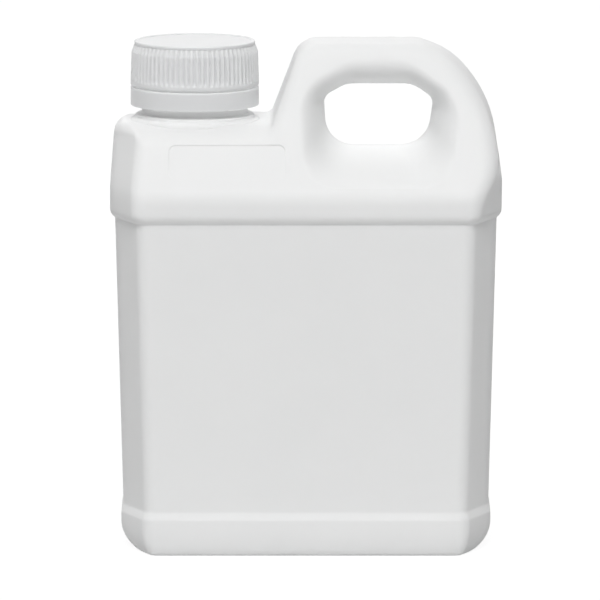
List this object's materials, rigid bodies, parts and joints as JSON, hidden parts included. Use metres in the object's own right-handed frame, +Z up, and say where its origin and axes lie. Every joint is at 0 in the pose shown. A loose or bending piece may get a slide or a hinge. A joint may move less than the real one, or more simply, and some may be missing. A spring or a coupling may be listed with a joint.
{
  "type": "plastic jerrycan",
  "caption": "White blow-moulded jerrycan with an integral hollow carrying handle, a threaded neck, a ribbed screw cap with a foam liner and a tamper-evident band.",
  "frame": {"origin": "centre of the can's bounding box at the height of the surface it stands on", "axes": "+Z up to the cap and handle; -Y is the front that the picture shows; -X is the side with the neck and +X the side with the handle"},
  "size_m": [0.1266, 0.0728, 0.1642],
  "materials": {
    "can": "satin white polyethylene with a fine moulded grain",
    "cap": "smooth white polypropylene",
    "liner": "matte off-white foam"
  },
  "bodies": {
    "can": {"can_body": "can", "tamper_band": "cap"},
    "liner": {"cap_liner": "liner"},
    "cap": {"screw_cap": "cap"}
  },
  "joints": [
    {"name": "cap_lift", "type": "slide", "parent": "can", "child": "liner", "axis": [0, 0, 1], "range_m": [0, 0.0169]},
    {"name": "cap_turn", "type": "hinge", "parent": "liner", "child": "cap", "pos_m": [-0.036, 0, 0.157], "axis": [0, 0, 1], "range_deg": [0, 1440]}
  ],
  "couplings": [
    {"joint": "cap_lift", "follows": "cap_turn", "m_per_rad": 0.00066845}
  ]
}
